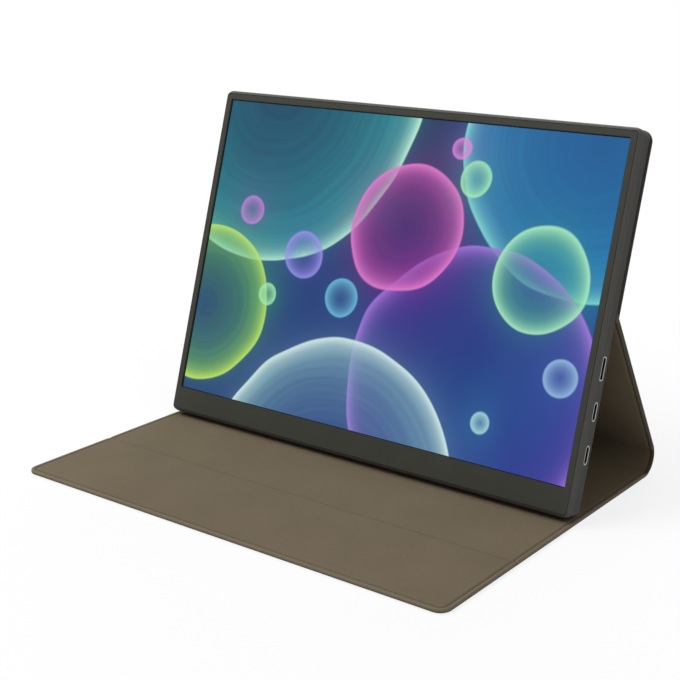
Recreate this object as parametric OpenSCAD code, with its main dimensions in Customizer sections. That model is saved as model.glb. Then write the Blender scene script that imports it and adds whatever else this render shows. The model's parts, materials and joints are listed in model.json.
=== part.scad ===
// Portable monitor with a folding cover. Millimetres, +Z up, front towards -Y.
// The monitor leans on a panel of its cover that folds out of its back.

/* [Screen] */
// Width of the visible picture
screen_w = 253.4; // [200:0.1:360]
// Height of the visible picture
screen_h = 169.0; // [120:0.1:260]
// Black border of the cell at the sides and top
cell_border = 2.0; // [1:0.1:4]
// Black border of the cell at the bottom, where its drivers are bonded
cell_foot = 4.0; // [2:0.1:8]
// Thickness of the glass cell
cell_t = 1.1; // [0.6:0.1:2]
// Thickness of the stack of light films
film_t = 0.3; // [0.1:0.05:0.6]
// Thickness of the light guide
guide_t = 1.4; // [0.6:0.1:3]
// Thickness of the white reflector sheet
reflector_t = 0.2; // [0.1:0.05:0.5]
// Sheet thickness of the panel's steel tray
tray_t = 0.4; // [0.2:0.05:1]

/* [Front frame] */
// Frame width beside the picture
side_bezel = 4.0; // [2:0.1:15]
// Frame width above the picture
top_bezel = 4.0; // [2:0.1:15]
// Frame width below the picture
chin = 13.1; // [4:0.1:30]
// Thickness of the front frame
bezel_t = 0.8; // [0.8:0.1:3]
// Outer corner radius of the front frame
bezel_r = 1.8; // [1:0.1:8]
// Black gap left round the picture inside the frame
picture_gap = 0.4; // [0.2:0.1:1.5]
// Foam strip between the frame and the cell
gasket_t = 0.2; // [0.2:0.1:1]
// Seam between the front frame and the shell
seam = 0.25; // [0.1:0.05:0.5]

/* [Rear shell] */
// Thickness of the whole monitor
body_t = 11.0; // [7:0.1:20]
// Width of the shell's edge seen round the front frame
lip_w = 1.6; // [0.8:0.1:4]
// How far that edge falls away from the front face
lip_drop = 2.0; // [0.4:0.1:3]
// How far the middle of that edge bows out from a flat bevel
lip_bow = 0.2; // [0:0.05:0.4]
// Corner radius of the shell
body_r = 4.0; // [2:0.1:12]
// Edge break round the shell's back
back_round = 1.0; // [0.5:0.1:3]
// Ledge the front frame sits on
ledge_w = 0.5; // [0.3:0.1:2]
// Thickness of the shell's back wall
back_wall = 1.0; // [0.8:0.1:3]
// Width of the ribs that carry the panel
rib_w = 5.0; // [2:0.1:10]
// Tape between the ribs and the panel tray
tape_t = 0.3; // [0.1:0.05:1]

/* [Sockets] */
// Depth of the socket centres behind the front face
port_d = 6.8; // [4:0.1:9]
// Height of the small video socket above the monitor's bottom
hdmi_u = 73.7; // [20:0.5:160]
// Height of the upper data socket
usb_hi_u = 52.6; // [20:0.5:160]
// Height of the lower data socket
usb_lo_u = 31.4; // [20:0.5:160]
// Length of a data socket's metal shell
usb_l = 8.94; // [8:0.01:10]
// Thickness of a data socket's metal shell
usb_h = 3.16; // [2.5:0.01:4]
// Length of the small video socket's shell
hdmi_l = 11.2; // [10:0.01:16]
// Thickness of the small video socket's shell
hdmi_h = 3.2; // [2.5:0.01:4]
// Metal thickness of the socket shells
shell_m = 0.3; // [0.2:0.01:0.5]
// How deep the sockets run into the monitor
socket_run = 7.4; // [5:0.1:12]
// How far the socket mouths sit behind the side wall
socket_set = 0.3; // [0:0.05:1]
// Wall relief round each socket mouth
mouth_bevel = 0.5; // [0.2:0.05:1]
// Radius of the headphone socket's hole
jack_r = 1.8; // [1.5:0.05:2.5]
// Height of the headphone socket above the bottom
jack_u = 31.4; // [20:0.5:160]

/* [Buttons] */
// Height of the power button above the bottom
power_u = 76.0; // [20:0.5:160]
// Length of the power button
power_l = 9.0; // [5:0.1:20]
// Height of the menu rocker above the bottom
rocker_u = 55.0; // [20:0.5:160]
// Length of the menu rocker
rocker_l = 16.0; // [8:0.1:30]
// Width of both keys across the wall
key_w = 2.8; // [1.5:0.1:5]
// How far the keys stand out of the wall
key_out = 0.5; // [0.2:0.05:1.5]
// Travel of the power button
key_travel = 0.35; // [0.2:0.05:0.8]
// Clearance round the keys
key_gap = 0.2; // [0.1:0.05:0.5]
// Radius of the rocker's pins
pin_r = 0.4; // [0.3:0.05:0.8]
// Length of the rocker's pins
pin_l = 0.8; // [0.4:0.1:1.5]
// Clearance of the rocker's pins
pin_gap = 0.1; // [0.05:0.05:0.2]
// How far the pins sit behind the wall's outer face
pin_in = 1.2; // [0.8:0.1:1.6]

/* [Boards] */
// Thickness of the circuit boards
board_t = 0.7; // [0.4:0.1:1.6]
// Width of the main board
main_w = 90.0; // [40:1:120]
// Height of the main board
main_h = 66.0; // [40:1:90]
// Width of the board behind the keys
side_w = 16.0; // [8:0.5:40]
// Length of the board behind the keys
side_h = 60.0; // [40:1:80]
// Radius of the board screws
screw_r = 0.8; // [0.5:0.05:1.5]
// Clearance of the screws in the boards
screw_gap = 0.15; // [0.05:0.05:0.3]
// Length of a loudspeaker box
speaker_l = 32.0; // [15:0.5:50]
// Height of a loudspeaker box
speaker_h = 12.0; // [8:0.5:25]
// Distance of the loudspeakers' middles from the shell's sides
speaker_side = 37.4; // [20:0.5:60]
// Thickness of the fences that hold the loudspeakers
fence_t = 0.8; // [0.4:0.1:2]
// Clearance between a fence and its loudspeaker
fence_gap = 0.2; // [0.1:0.05:0.5]
// Length of a holding magnet
magnet_l = 20.0; // [8:0.5:40]
// Height of a holding magnet
magnet_h = 6.0; // [3:0.5:15]
// Thickness of a holding magnet
magnet_t = 2.0; // [1:0.1:3]
// Distance of the outer magnets' middles from the shell's sides
magnet_side = 37.4; // [20:0.5:60]
// Distance of the inner magnets' middles from the middle
magnet_mid = 30.0; // [12:0.5:60]
// Height of the lower magnets above the fold
magnet_low = 30.0; // [20:0.5:50]
// Height of the upper magnets above the fold
magnet_high = 54.0; // [30:0.5:80]
// Height of the lower rib above the fold
rib_low = 12.0; // [6:0.5:30]
// Height of the upper rib above the fold
rib_high = 66.0; // [40:0.5:85]
// Radius of the bosses under the boards
boss_r = 2.6; // [1.8:0.1:4]

/* [Stand] */
// Angle the monitor leans back from upright
lean = 17.4; // [0:0.1:30]
// Angle of the stand panel from the table
prop = 58.9; // [40:0.1:80]
// Height on the monitor where the stand panel folds out
fold_u = 98.5; // [60:0.5:140]
// Length of the stand panel down to the spine
prop_l = 94.1; // [60:0.1:140]
// Distance from the monitor's foot to the cover's front edge
front_y = 107.0; // [60:0.5:200]
// Distance from the monitor's foot to the fold in the front cover
fold_y = 48.0; // [30:0.5:100]
// Gap under the monitor's foot
foot_gap = 0.25; // [0.1:0.05:0.5]

/* [Cover] */
// How far the cover stands past the shell on each side
cover_over = 0.5; // [0:0.1:6]
// Thickness of the outer leather
skin_t = 0.5; // [0.3:0.05:1.5]
// Thickness of the stiff board
core_t = 1.0; // [0.5:0.05:3]
// Thickness of the soft lining
lining_t = 0.5; // [0.3:0.05:1.5]
// Leather wrapped round the board's edge
wrap_t = 0.6; // [0.3:0.05:1.5]
// Leather turned onto the inner face
rim_w = 1.6; // [0.8:0.1:5]
// Corner radius of the cover
cover_r = 6.0; // [2:0.5:20]
// Width of soft cover at each fold
fold_w = 4.0; // [2:0.1:8]
// Thickness of the soft cover at the folds
soft_t = 1.0; // [0.6:0.05:2]
// Thickness of the soft spine
spine_t = 1.2; // [0.6:0.05:2]
// Space between the cover's back panel and the shell
cover_gap = 0.2; // [0.1:0.05:0.5]
// Clearance between the cover's layers at their edges
layer_gap = 0.05; // [0.02:0.01:0.2]
// How far the back panel rises past the shell
cover_top = 0.6; // [0:0.1:4]
// Thickness of the steel sheet inside the back panel
steel_t = 0.3; // [0.2:0.05:0.6]
// Space from the steel sheet to the panel's sides
steel_side = 28.0; // [10:0.5:60]
// Space from the steel sheet to the panel's fold
steel_low = 10.0; // [4:0.5:30]
// Height of the steel sheet
steel_h = 60.0; // [20:0.5:120]
// Radius of the closing magnets in the front cover
disc_r = 5.0; // [3:0.1:8]
// Distance of the closing magnets from the cover's sides
disc_side = 33.0; // [10:0.5:80]
// Distance of the closing magnets from the cover's front edge
disc_in = 14.0; // [8:0.5:40]

/* [Hidden] */
$fn = 64;
e = 1;

frame_w = screen_w + 2*side_bezel;
frame_h = screen_h + top_bezel + chin;
body_w = frame_w + 2*lip_w;
body_h = frame_h + 2*lip_w;
frame_c = lip_w + frame_h/2;
body_c = body_h/2;
screen_u = lip_w + chin;
screen_c = screen_u + screen_h/2;
wall = lip_w + ledge_w;
lip_l = norm([lip_w, lip_drop]);

cell_w = screen_w + 2*cell_border;
cell_h = screen_h + cell_border + cell_foot;
cell_c = screen_u - cell_foot + cell_h/2;
cell_d = bezel_t + gasket_t;
film_d = cell_d + cell_t;
guide_d = film_d + film_t;
refl_d = guide_d + guide_t;
tray_d = refl_d + reflector_t;
tray_back = tray_d + tray_t;
inner_d = body_t - back_wall;
board_d = port_d + max(usb_h, hdmi_h)/2;
board_back = board_d + board_t;
side_x = body_w/2;
cavity_x = side_x - wall;
board_edge = cavity_x - 0.5;
cover_w = body_w + 2*cover_over;
speaker_x = side_x - speaker_side;
speaker_u = wall + 1.2;
fence_x = speaker_l/2 + fence_gap + fence_t/2;
socket_x = side_x - socket_set;

panel_t = skin_t + core_t + lining_t;
pivot_d = body_t + cover_gap + panel_t/2;
r_c = back_round;
foot_z = panel_t + foot_gap + r_c + (body_t - r_c)*sin(lean) - r_c*cos(lean);
pivot_y = pivot_d*cos(lean) + fold_u*sin(lean);
pivot_z = foot_z + fold_u*cos(lean) - pivot_d*sin(lean);
tilt = 90 - prop;
end_y = pivot_y + prop_l*sin(tilt) + panel_t/2*cos(tilt);
end_z = pivot_z - prop_l*cos(tilt) + panel_t/2*sin(tilt);
spine_r = end_z/(1 + sin(tilt));
spine_y = end_y - spine_r*cos(tilt);
mid_y = (spine_y + spine_r - front_y)/2;
base_l = spine_y + fold_y - fold_w/2;
flap_l = front_y - fold_y - fold_w/2;
back_l = body_h + cover_top - fold_u - fold_w/2;
steel_w = cover_w - 2*steel_side;
stand_l = prop_l - fold_w/2;
bend_a = 180 - (90 - lean) - prop;

module rect2(w, h, r, c) {
  translate([-w/2 + r, c - h/2]) square([w - 2*r, h]);
  translate([-w/2, c - h/2 + r]) square([w, h - 2*r]);
  for (x = [-1, 1], y = [-1, 1])
    translate([x*(w/2 - r), c + y*(h/2 - r)]) circle(r = r);
}
module plate(a, b) {
  translate([0, b, 0]) rotate([90, 0, 0]) linear_extrude(height = b - a) children();
}
module box(x0, x1, d0, d1, u0, u1) {
  translate([x0, d0, u0]) cube([x1 - x0, d1 - d0, u1 - u0]);
}
module stadium(l, h, x0, x1, u) {
  translate([x0, port_d, u]) rotate([90, 0, 90]) linear_extrude(height = x1 - x0) {
    translate([-h/2, -(l - h)/2]) square([h, l - h]);
    for (s = [-1, 1]) translate([0, s*(l - h)/2]) circle(d = h);
  }
}
module slotbox(l, h, x0, x1, u, r) {
  translate([x0, port_d, u]) rotate([90, 0, 90]) linear_extrude(height = x1 - x0) {
    translate([-h/2, -l/2 + r]) square([h, l - 2*r]);
    translate([-h/2 + r, -l/2]) square([h - 2*r, l]);
    for (a = [-1, 1], b = [-1, 1])
      translate([a*(h/2 - r), b*(l/2 - r)]) circle(r = r);
  }
}
module at_monitor() {
  translate([0, -mid_y, foot_z]) rotate([-lean, 0, 0]) children();
}
module at_stand() {
  translate([0, pivot_y - mid_y, pivot_z]) rotate([tilt, 0, 0]) children();
}
module at_table() {
  translate([0, -mid_y, 0]) children();
}

module slab(d, inset, r) {
  for (x = [-1, 1], y = [-1, 1])
    translate([x*(side_x - inset - r), d, body_c + y*(body_c - inset - r)]) rotate([-90, 0, 0])
      cylinder(r = r, h = 0.1, $fn = 48);
}
module rear_shell() {
  color([0.23, 0.22, 0.21])
  at_monitor() difference() {
    union() {
      difference() {
        hull() {
          slab(0, lip_w, bezel_r);
          slab(lip_drop/2 - lip_bow*lip_w/lip_l, lip_w/2 - lip_bow*lip_drop/lip_l,
            (bezel_r + body_r)/2);
          slab(lip_drop, 0, body_r);
          for (a = [0:30:90])
            slab(body_t - back_round*(1 - sin(a)) - 0.1, back_round*(1 - cos(a)),
              body_r - back_round*(1 - cos(a)));
        }
        plate(-e, bezel_t) rect2(frame_w, frame_h, bezel_r, body_c);
        plate(-e, inner_d) rect2(body_w - 2*wall, body_h - 2*wall, bezel_r, body_c);
      }
      for (u = [fold_u + rib_low, fold_u + rib_high])
        box(-cavity_x, cavity_x, tray_back + tape_t, body_t - back_wall/2, u, u + rib_w);
      for (p = boss_xu) translate([p[0], body_t - back_wall/2, p[1]]) rotate([90, 0, 0])
        cylinder(r = boss_r, h = body_t - back_wall/2 - board_back);
      for (s = [-1, 1], k = [-1, 1])
        box(s*speaker_x + k*fence_x - fence_t/2, s*speaker_x + k*fence_x + fence_t/2,
          inner_d - 2.4, inner_d + 0.2, speaker_u, speaker_u + speaker_h);
    }
    for (p = boss_xu) translate([p[0], inner_d + 0.55, p[1]]) rotate([90, 0, 0])
      cylinder(r = screw_r + 0.02, h = 5);
    for (u = [usb_hi_u, usb_lo_u]) {
      stadium(usb_l + 0.2, usb_h + 0.2, side_x - 6, side_x + e, u);
      stadium(usb_l + 2*mouth_bevel, usb_h + 2*mouth_bevel, side_x - 0.25, side_x + e, u);
    }
    slotbox(hdmi_l + 0.2, hdmi_h + 0.2, side_x - 6, side_x + e, hdmi_u, 0.9);
    slotbox(hdmi_l + 2*mouth_bevel, hdmi_h + 2*mouth_bevel, side_x - 0.25, side_x + e, hdmi_u, 1.2);
    translate([-side_x - e, port_d, jack_u]) rotate([0, 90, 0]) cylinder(r = 3.1, h = 8);
    box(-side_x - e, -cavity_x + e, port_d - key_w/2 - key_gap, port_d + key_w/2 + key_gap,
      power_u - power_l/2 - key_gap, power_u + power_l/2 + key_gap);
    box(-side_x - e, -cavity_x + e, port_d - key_w/2 - key_gap, port_d + key_w/2 + key_gap,
      rocker_u - rocker_l/2 - key_gap, rocker_u + rocker_l/2 + key_gap);
    translate([-side_x + pin_in, port_d + key_w/2 + pin_l + 0.1, rocker_u]) rotate([90, 0, 0])
      cylinder(r = pin_r + pin_gap, h = key_w + 2*pin_l + 0.2);
    for (s = [-1, 1], k = [-3:3])
      box(s*speaker_x + k*3 - 0.5, s*speaker_x + k*3 + 0.5, inner_d - e, body_t + e,
        speaker_u + speaker_h/2 - 3, speaker_u + speaker_h/2 + 3);
  }
}
main_x = board_edge - main_w;
cable_w = 14;
cable_x = main_x + 1.3;
boss_xu = [[main_x + 4, 23.5], [main_x + 4, 84], [board_edge - 12, 84],
  [board_edge - 12, 22.5], [-board_edge + side_w - 3, 28], [-board_edge + side_w - 3, 81]];

module front_frame() {
  color([0.24, 0.23, 0.22])
  at_monitor() difference() {
    union() {
      plate(0, bezel_t) rect2(frame_w - 2*seam, frame_h - 2*seam, bezel_r - seam, body_c);
      for (s = [-1, 1], u = [40, 150])
        box(s*(cavity_x - 0.55) - 0.35, s*(cavity_x - 0.55) + 0.35, bezel_t - 0.1, 4.2, u, u + 8);
      for (x = [-90, 0, 90])
        box(x - 4, x + 4, bezel_t - 0.1, 4.2, wall + 0.2, wall + 0.9);
    }
    plate(-e, bezel_t + e)
      rect2(screen_w + 2*picture_gap, screen_h + 2*picture_gap, 0.8, screen_c);
    plate(-e, 0.35)
      rect2(screen_w + 2*picture_gap + 0.5, screen_h + 2*picture_gap + 0.5, 1, screen_c);
  }
}
module frame_gasket() {
  color([0.08, 0.08, 0.08])
  at_monitor() plate(bezel_t, cell_d) difference() {
    rect2(cell_w - 0.4, cell_h - 0.4, 0.8, cell_c);
    rect2(screen_w + 2*picture_gap + 0.5, screen_h + 2*picture_gap + 0.5, 0.8, screen_c);
  }
}
module glass_cell() {
  color([0.04, 0.06, 0.12])
  at_monitor() plate(cell_d, film_d) rect2(cell_w, cell_h, 0.5, cell_c);
}
module light_films() {
  color([0.9, 0.92, 0.93])
  at_monitor() plate(film_d, guide_d)
    rect2(cell_w - 2.2, cell_h - 2.2, 0.5, cell_c);
}
module light_guide() {
  color([0.85, 0.9, 0.92, 0.7])
  at_monitor() plate(guide_d, refl_d) translate([0, 2])
    rect2(cell_w - 2.2, cell_h - 6.2, 0.5, cell_c);
}
module reflector() {
  color([0.96, 0.96, 0.96])
  at_monitor() plate(refl_d, tray_d)
    rect2(cell_w - 1.4, cell_h - 1.4, 0.5, cell_c);
}
module panel_tray() {
  color([0.7, 0.71, 0.72])
  at_monitor() difference() {
    plate(film_d, tray_back) rect2(cell_w, cell_h, 0.8, cell_c);
    plate(film_d - e, tray_d) rect2(cell_w - 2*tray_t, cell_h - 2*tray_t, 0.4, cell_c);
    for (x = [-80, 0, 80]) plate(tray_d - e, tray_back + e) translate([x, 0])
      rect2(30, 1.2, 0.5, cell_c - cell_h/2 + 12);
  }
}
module light_bar() {
  color([0.95, 0.9, 0.6])
  at_monitor() {
    box(-cell_w/2 + 6, cell_w/2 - 6, guide_d + 0.1, refl_d - 0.1, cell_c - cell_h/2 + 1.2,
      cell_c - cell_h/2 + 2.4);
    for (k = [-13:13]) box(k*9 - 1.6, k*9 + 1.6, guide_d + 0.2, refl_d - 0.2,
      cell_c - cell_h/2 + 2.3, cell_c - cell_h/2 + 4.6);
  }
}
module driver_board() {
  color([0.1, 0.3, 0.16])
  at_monitor() {
    box(-62, cable_x + cable_w + 7, cell_d + 0.3, cell_d + 1.0, wall + 1.4, wall + 7.6);
    for (x = [-42, -14, 14]) box(x - 4, x + 4, cell_d + 0.9, cell_d + 2.0, wall + 2, wall + 6);
    box(cable_x - 1, cable_x + cable_w + 1, cell_d + 0.9, cell_d + 2.2, wall + 3.4, wall + 6.6);
    for (x = [-50, -25, 0, 25, 50])
      box(x - 7, x + 7, cell_d + 0.4, cell_d + 0.6, wall + 7.5, cell_c - cell_h/2);
  }
}
module panel_tape() {
  color([0.15, 0.15, 0.16])
  at_monitor() for (u = [fold_u + rib_low, fold_u + rib_high])
    box(-cell_w/2 + 6, cell_w/2 - 6, tray_back, tray_back + tape_t, u + 0.3, u + rib_w - 0.3);
}
module panel_cable() {
  color([0.75, 0.5, 0.2])
  at_monitor() translate([cable_x, 0, 0]) rotate([90, 0, 90]) linear_extrude(height = cable_w)
    polygon([[cell_d + 2.2, wall + 4.2], [cell_d + 2.4, wall + 4.2], [cell_d + 2.4, wall + 6.2],
      [board_d - 0.6, wall + 8.0], [board_d - 0.6, 28], [board_d - 0.8, 28],
      [board_d - 0.8, wall + 8.2], [cell_d + 2.2, wall + 6.4]]);
}
module main_board() {
  color([0.08, 0.32, 0.2])
  at_monitor() difference() {
    union() {
      box(main_x, board_edge, board_d, board_back, 20, 22 + main_h);
      box(cable_x + 1, cable_x + cable_w - 1, board_d - 1.2, board_d + 0.1, 28, 32);
      box(main_x + 26, main_x + 40, board_d - 1.2, board_d + 0.1, 44, 58);
      box(main_x + 46, main_x + 54, board_d - 1.0, board_d + 0.1, 46, 54);
      for (k = [0:3])
        box(main_x + 9 + k*6, main_x + 13 + k*6, board_d - 1.6, board_d + 0.1, 72, 77);
      for (k = [0:2])
        box(main_x + 60, main_x + 66, board_d - 1.4, board_d + 0.1, 36 + k*14, 41 + k*14);
    }
    for (p = boss_xu) translate([p[0], board_back + e, p[1]]) rotate([90, 0, 0])
      cylinder(r = screw_r + screw_gap, h = 4);
  }
}
module board_shield() {
  color([0.75, 0.76, 0.78])
  at_monitor() difference() {
    box(main_x + 22, main_x + 57, board_d - 1.8, board_d, 41, 61);
    box(main_x + 22.4, main_x + 56.6, board_d - 1.5, board_d + e, 41.4, 60.6);
  }
}
module video_socket() {
  color([0.8, 0.8, 0.82])
  at_monitor() {
    difference() {
      slotbox(hdmi_l, hdmi_h, socket_x - socket_run, socket_x, hdmi_u, 0.8);
      slotbox(hdmi_l - 2*shell_m, hdmi_h - 2*shell_m, socket_x - socket_run + 1, socket_x + e,
        hdmi_u, 0.5);
    }
    box(socket_x - socket_run + 0.8, socket_x - 1.2, port_d - 0.35, port_d + 0.35,
      hdmi_u - 4.4, hdmi_u + 4.4);
  }
}
module usb_socket(u) {
  color([0.82, 0.82, 0.84])
  at_monitor() {
    difference() {
      stadium(usb_l, usb_h, socket_x - socket_run, socket_x, u);
      stadium(usb_l - 2*shell_m, usb_h - 2*shell_m, socket_x - socket_run + 1, socket_x + e, u);
    }
    box(socket_x - socket_run + 0.8, socket_x - 0.8, port_d - 0.35, port_d + 0.35,
      u - 3.1, u + 3.1);
  }
}
module usb_socket_upper() { usb_socket(usb_hi_u); }
module usb_socket_lower() { usb_socket(usb_lo_u); }
module side_board() {
  color([0.08, 0.32, 0.2])
  at_monitor() difference() {
    union() {
      box(-board_edge, -board_edge + side_w, board_d, board_back, 26, 26 + side_h);
      box(-board_edge + 2.2, -board_edge + 5.4, port_d - 1.3, board_d + 0.1,
        power_u - 2, power_u + 2);
      for (s = [-1, 1]) box(-board_edge + 2.2, -board_edge + 5.4, port_d - 1.3, board_d + 0.1,
        rocker_u + s*5 - 1.6, rocker_u + s*5 + 1.6);
    }
    for (p = boss_xu) translate([p[0], board_back + e, p[1]]) rotate([90, 0, 0])
      cylinder(r = screw_r + screw_gap, h = 4);
  }
}
module side_cable() {
  color([0.8, 0.8, 0.78])
  at_monitor() box(-board_edge + side_w - 4, main_x + 5, board_d - 0.2, board_d,
    42, 47);
}
module jack_socket() {
  color([0.12, 0.12, 0.13])
  at_monitor() difference() {
    union() {
      translate([-socket_x, port_d, jack_u]) rotate([0, 90, 0])
        cylinder(r = 3.0, h = socket_x - board_edge - layer_gap);
      box(-side_x + 2.6, -side_x + 14, tray_back + 0.3, board_d, jack_u - 3, jack_u + 3);
    }
    translate([-side_x - e, port_d, jack_u]) rotate([0, 90, 0]) cylinder(r = jack_r, h = 13);
  }
}
module power_button() {
  color([0.16, 0.16, 0.16])
  at_monitor() {
    box(-side_x - key_out, -cavity_x + 0.3, port_d - key_w/2, port_d + key_w/2,
      power_u - power_l/2, power_u + power_l/2);
    box(-cavity_x + 0.2, -cavity_x + 0.9, port_d - key_w/2 - 0.6, port_d + key_w/2 - 0.1,
      power_u - power_l/2 - 0.7, power_u + power_l/2 + 0.7);
    box(-cavity_x + 0.8, -board_edge + 2.2 - key_travel - 0.25, port_d - 0.7, port_d + 0.7,
      power_u - 1, power_u + 1);
  }
}
module menu_rocker() {
  color([0.16, 0.16, 0.16])
  at_monitor() {
    difference() {
      box(-side_x - key_out, -cavity_x + 0.3, port_d - key_w/2, port_d + key_w/2,
        rocker_u - rocker_l/2, rocker_u + rocker_l/2);
      translate([-side_x - key_out - 3.1, port_d + key_w, rocker_u]) rotate([90, 0, 0])
        cylinder(r = 3.4, h = 2*key_w);
    }
    translate([-side_x + pin_in, port_d + key_w/2 + pin_l, rocker_u]) rotate([90, 0, 0])
      cylinder(r = pin_r, h = key_w + 2*pin_l);
    box(-cavity_x + 0.2, -cavity_x + 0.9, port_d - key_w/2 - 0.6, port_d + key_w/2 - 0.1,
      rocker_u - 3, rocker_u + 3);
    for (s = [-1, 1]) box(-cavity_x + 0.2, -board_edge + 1.6, port_d - 0.7, port_d + 0.7,
      rocker_u + s*5 - 0.8, rocker_u + s*5 + 0.8);
  }
}
module speaker(s) {
  color([0.1, 0.1, 0.1])
  at_monitor() difference() {
    box(s*speaker_x - speaker_l/2, s*speaker_x + speaker_l/2, tray_back + 0.5, inner_d,
      speaker_u, speaker_u + speaker_h);
    translate([s*speaker_x, inner_d + e, speaker_u + speaker_h/2]) rotate([90, 0, 0]) cylinder(r = 4.6, h = e + 1);
  }
}
module speaker_left() { speaker(-1); }
module speaker_right() { speaker(1); }
module board_screws() {
  color([0.6, 0.6, 0.62])
  at_monitor() for (p = boss_xu) difference() {
    union() {
      translate([p[0], board_d, p[1]]) rotate([90, 0, 0]) cylinder(r = 1.6, h = 0.6);
      translate([p[0], inner_d + 0.4, p[1]]) rotate([90, 0, 0])
        cylinder(r = screw_r, h = inner_d + 0.4 - board_d + 0.1);
    }
    translate([p[0], board_d - 0.25, p[1]]) rotate([90, 0, 0]) cylinder(r = 0.7, h = 1, $fn = 6);
  }
}
module holding_magnets() {
  color([0.72, 0.72, 0.74])
  at_monitor() for (s = [-1, 1], x = [magnet_mid, side_x - magnet_side],
    u = [fold_u + magnet_low, fold_u + magnet_high])
      box(s*x - magnet_l/2, s*x + magnet_l/2, inner_d - magnet_t, inner_d, u, u + magnet_h);
}

module outline2(w, l, r, far) {
  translate([-w/2, 0]) square([w, far ? l - r : l]);
  if (far) {
    translate([-w/2 + r, l - r - 0.1]) square([w - 2*r, r + 0.1]);
    for (s = [-1, 1]) translate([s*(w/2 - r), l - r]) circle(r = r);
  }
}
module skin3(l, far) {
  a = wrap_t;
  b = rim_w;
  difference() {
    linear_extrude(height = panel_t) outline2(cover_w, l, cover_r, far);
    translate([0, -e, skin_t]) linear_extrude(height = core_t)
      outline2(cover_w - 2*a, l + e + (far ? -a : e), cover_r - a, far);
    translate([0, -e, skin_t + core_t]) linear_extrude(height = lining_t + e)
      outline2(cover_w - 2*b, l + e + (far ? -b : e), cover_r - b, far);
  }
}
module core3(l, far) {
  a = wrap_t + layer_gap;
  translate([0, 0, skin_t]) linear_extrude(height = core_t)
    outline2(cover_w - 2*a, l - (far ? a : 0), cover_r - a, far);
}
module lining3(l, far) {
  b = rim_w + layer_gap;
  translate([0, 0, skin_t + core_t]) linear_extrude(height = lining_t)
    outline2(cover_w - 2*b, l - (far ? b : 0), cover_r - b, far);
}
module at_back() {
  at_monitor() translate([0, body_t + cover_gap + panel_t, fold_u + fold_w/2])
    rotate([90, 0, 0]) children();
}
module at_prop() {
  at_stand() translate([0, panel_t/2, -prop_l]) rotate([90, 0, 0]) children();
}
module at_base() {
  at_table() translate([0, spine_y - base_l, 0]) children();
}
module at_flap() {
  at_table() translate([0, -fold_y - fold_w/2, 0]) rotate([0, 0, 180]) children();
}

module back_skin() { color([0.25, 0.23, 0.21]) at_back() skin3(back_l, true); }
module back_core() {
  color([0.55, 0.5, 0.42])
  at_back() difference() {
    core3(back_l, true);
    translate([-steel_w/2 - 4*layer_gap, steel_low - 4*layer_gap, skin_t + core_t - steel_t])
      cube([steel_w + 8*layer_gap, steel_h + 8*layer_gap, e]);
  }
}
module back_steel() {
  color([0.7, 0.7, 0.72])
  at_back() translate([-steel_w/2, steel_low, skin_t + core_t - steel_t])
    cube([steel_w, steel_h, steel_t]);
}
module back_lining() { color([0.46, 0.42, 0.36]) at_back() lining3(back_l, true); }

module top_fold() {
  h = fold_w/2;
  t = panel_t/2;
  color([0.26, 0.24, 0.21])
  at_stand() translate([-cover_w/2, 0, 0]) rotate([90, 0, 90])
    linear_extrude(height = cover_w) polygon([
      [t, -h], [0, -h], [0, 0],
      [h*sin(bend_a), h*cos(bend_a)],
      [h*sin(bend_a) + t*cos(bend_a), h*cos(bend_a) - t*sin(bend_a)],
      [t, -t*tan(bend_a/2)]]);
}
module stand_skin() { color([0.25, 0.23, 0.21]) at_prop() skin3(stand_l, false); }
module stand_core() { color([0.55, 0.5, 0.42]) at_prop() core3(stand_l, false); }
module stand_lining() { color([0.46, 0.42, 0.36]) at_prop() lining3(stand_l, false); }

module spine() {
  c = spine_r;
  color([0.26, 0.24, 0.21])
  at_table() translate([-cover_w/2, spine_y, c]) rotate([90, 0, 90])
    linear_extrude(height = cover_w) difference() {
      circle(r = c, $fn = 128);
      circle(r = c - spine_t, $fn = 128);
      polygon([[0, 0], [0, -3*c], [-3*c, -3*c], [-3*c, 3*c], [-3*c*sin(tilt), 3*c*cos(tilt)],
        [3*c*(cos(tilt) - sin(tilt)), 3*c*(cos(tilt) + sin(tilt))],
        [3*c*cos(tilt), 3*c*sin(tilt)]]);
    }
}
module base_skin() { color([0.25, 0.23, 0.21]) at_base() skin3(base_l, false); }
module base_core() { color([0.55, 0.5, 0.42]) at_base() core3(base_l, false); }
module base_lining() { color([0.46, 0.42, 0.36]) at_base() lining3(base_l, false); }
module front_fold() {
  color([0.26, 0.24, 0.21])
  at_table() translate([-cover_w/2, -fold_y - fold_w/2, 0]) cube([cover_w, fold_w, soft_t]);
}
module flap_skin() { color([0.25, 0.23, 0.21]) at_flap() skin3(flap_l, true); }
module flap_core() {
  color([0.55, 0.5, 0.42])
  at_flap() difference() {
    core3(flap_l, true);
    for (s = [-1, 1]) translate([s*(cover_w/2 - disc_side), flap_l - disc_in, skin_t - e])
      cylinder(r = disc_r + layer_gap, h = core_t + 2*e);
  }
}
module flap_lining() { color([0.46, 0.42, 0.36]) at_flap() lining3(flap_l, true); }
module flap_magnets() {
  color([0.72, 0.72, 0.74])
  at_flap() for (s = [-1, 1]) translate([s*(cover_w/2 - disc_side), flap_l - disc_in, skin_t])
    cylinder(r = disc_r, h = core_t);
}

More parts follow.
